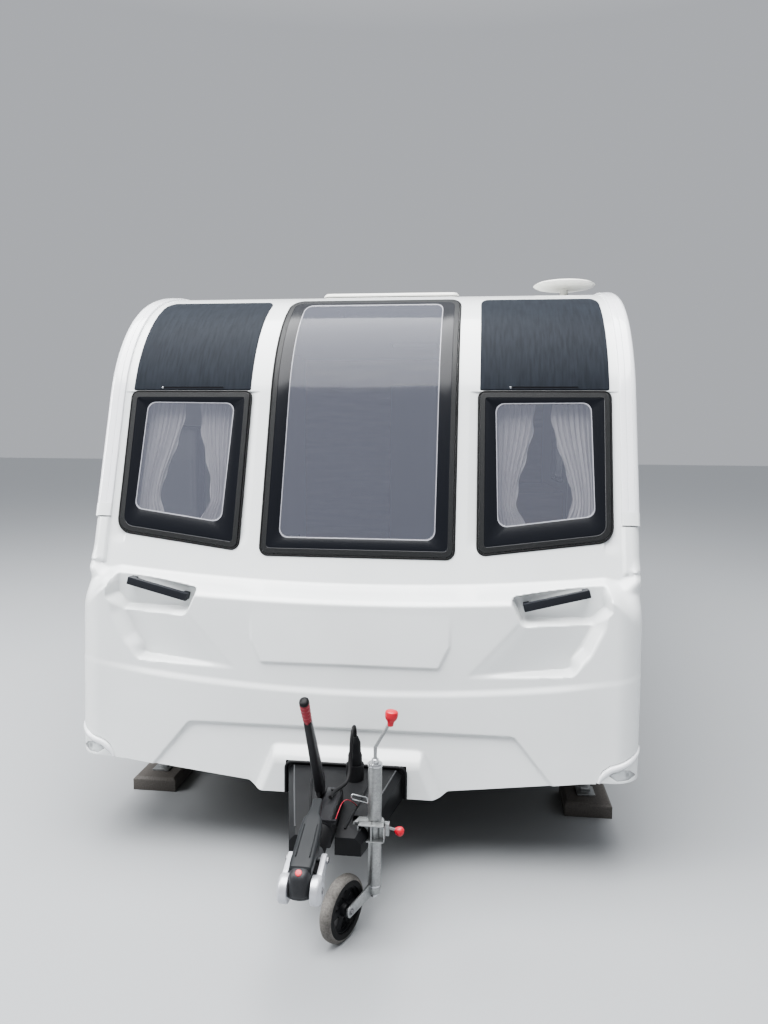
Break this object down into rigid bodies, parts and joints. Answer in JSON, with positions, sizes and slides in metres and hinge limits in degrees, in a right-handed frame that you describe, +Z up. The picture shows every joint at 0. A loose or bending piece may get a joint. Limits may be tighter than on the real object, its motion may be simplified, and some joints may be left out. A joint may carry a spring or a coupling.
{
  "type": "travel caravan",
  "caption": "Single-axle touring caravan with a hollow cabin, opening doors, turning wheels, folding corner steadies and a winding jockey wheel.",
  "frame": {"origin": "centre of the whole outline on the ground", "axes": "+X to the door side, +Y to the rear, +Z up"},
  "size_m": [2.28, 6.2, 2.557],
  "materials": {
    "wall_paint": "gloss",
    "moulding": "gloss",
    "white_plastic": "satin",
    "trim_white": "gloss",
    "black_trim": "gloss",
    "black_plastic": "matt",
    "rubber": "matt",
    "window": "gloss",
    "lamp_clear": "gloss",
    "lamp_red": "gloss",
    "galvanised": "satin",
    "floor_board": "matt",
    "furniture": "satin",
    "black_paint": "satin",
    "coupling_cast": "satin",
    "cheek_cover": "satin",
    "red_plastic": "gloss",
    "tyre_rubber": "matt",
    "alloy": "satin",
    "pad_plastic": "matt",
    "cushion": "matt",
    "curtain": "matt",
    "cord_black": "matt",
    "cable_red": "satin",
    "bare_steel": "satin"
  },
  "bodies": {
    "caravan": {"front_lower_panel": "moulding", "front_upper_panel": "moulding", "side_wall_near": "wall_paint", "side_wall_off": "wall_paint", "roof_panel": "wall_paint", "rear_panel": "moulding", "floor_panel": "floor_board", "awning_rails": "trim_white", "side_skirts": "white_plastic", "front_window_panes": "window", "front_window_seals": "rubber", "front_window_borders": "black_trim", "side_window_panes": "window", "side_window_frames": "black_trim", "roof_fittings": "white_plastic", "front_lamps": "lamp_clear", "front_lamp_housings": "moulding", "rear_lamps": "lamp_red", "grab_handles": "black_plastic", "side_vents": "white_plastic", "chassis_rails": "galvanised", "drawbar_members": "galvanised", "axle": "galvanised", "drawbar_cover": "black_plastic", "overrun_housing": "black_paint", "drawtube_gaiter": "rubber", "coupling_head": "coupling_cast", "coupling_handle": "black_plastic", "stabiliser_cheeks": "cheek_cover", "handbrake_lever": "black_paint", "red_grips": "red_plastic", "tow_plug": "black_plastic", "tow_lead": "cord_black", "breakaway_cable": "cable_red", "jockey_outer_tube": "galvanised", "steady_pads": "pad_plastic", "door_hinges": "galvanised", "cabin_furniture": "furniture", "locker_bays": "floor_board", "seat_cushions": "cushion", "curtains": "curtain"},
    "wheel_near": {"tyre_near": "tyre_rubber", "rim_near": "alloy"},
    "wheel_off": {"tyre_off": "tyre_rubber", "rim_off": "alloy"},
    "jockey_slider": {"jockey_inner_tube": "bare_steel"},
    "jockey_caster": {"jockey_fork": "galvanised"},
    "jockey_wheel": {"jockey_tyre": "rubber", "jockey_hub": "black_plastic"},
    "steady_front_near": {"steady_leg_front_near": "galvanised"},
    "steady_front_off": {"steady_leg_front_off": "galvanised"},
    "steady_rear_near": {"steady_leg_rear_near": "galvanised"},
    "steady_rear_off": {"steady_leg_rear_off": "galvanised"},
    "door": {"entrance_door": "wall_paint", "door_pane": "window"},
    "gas_door": {"gas_locker_door": "wall_paint"},
    "battery_door": {"battery_lid": "white_plastic"},
    "toilet_door": {"cassette_door": "wall_paint"}
  },
  "joints": [
    {"name": "wheel_near_spin", "type": "hinge", "parent": "caravan", "child": "wheel_near", "pos_m": [0.99, 0.56, 0.307], "axis": [1, 0, 0], "continuous": true},
    {"name": "wheel_off_spin", "type": "hinge", "parent": "caravan", "child": "wheel_off", "pos_m": [-0.99, 0.56, 0.307], "axis": [1, 0, 0], "continuous": true},
    {"name": "jockey_lift", "type": "slide", "parent": "caravan", "child": "jockey_slider", "axis": [0, 0, 1], "range_m": [-0.2, 0]},
    {"name": "jockey_swivel", "type": "hinge", "parent": "jockey_slider", "child": "jockey_caster", "pos_m": [0.158, -2.593, 0.122], "axis": [0, 0, 1], "continuous": true},
    {"name": "jockey_spin", "type": "hinge", "parent": "jockey_caster", "child": "jockey_wheel", "pos_m": [0.06161, -2.70032, 0.11], "axis": [0.9063, -0.4226, 0], "continuous": true},
    {"name": "steady_front_near_fold", "type": "hinge", "parent": "caravan", "child": "steady_front_near", "pos_m": [1.02, -1.40885, 0.352], "axis": [-1, 0, 0], "range_deg": [0, 54.6]},
    {"name": "steady_front_off_fold", "type": "hinge", "parent": "caravan", "child": "steady_front_off", "pos_m": [-1.02, -1.40885, 0.352], "axis": [-1, 0, 0], "range_deg": [0, 54.6]},
    {"name": "steady_rear_near_fold", "type": "hinge", "parent": "caravan", "child": "steady_rear_near", "pos_m": [1.02, 2.58885, 0.352], "axis": [1, 0, 0], "range_deg": [0, 54.6]},
    {"name": "steady_rear_off_fold", "type": "hinge", "parent": "caravan", "child": "steady_rear_off", "pos_m": [-1.02, 2.58885, 0.352], "axis": [1, 0, 0], "range_deg": [0, 54.6]},
    {"name": "entrance_door_swing", "type": "hinge", "parent": "caravan", "child": "door", "pos_m": [1.135, -0.47, 1.33], "axis": [0, 0, -1], "range_deg": [0, 170]},
    {"name": "gas_door_swing", "type": "hinge", "parent": "caravan", "child": "gas_door", "pos_m": [-1.135, -0.73, 0.755], "axis": [0, 0, 1], "range_deg": [0, 110]},
    {"name": "battery_lid_lift", "type": "hinge", "parent": "caravan", "child": "battery_door", "pos_m": [-1.135, 1.24, 0.79], "axis": [0, 1, 0], "range_deg": [0, 100]},
    {"name": "toilet_door_swing", "type": "hinge", "parent": "caravan", "child": "toilet_door", "pos_m": [-1.135, 2.3, 0.67], "axis": [0, 0, 1], "range_deg": [0, 110]}
  ]
}
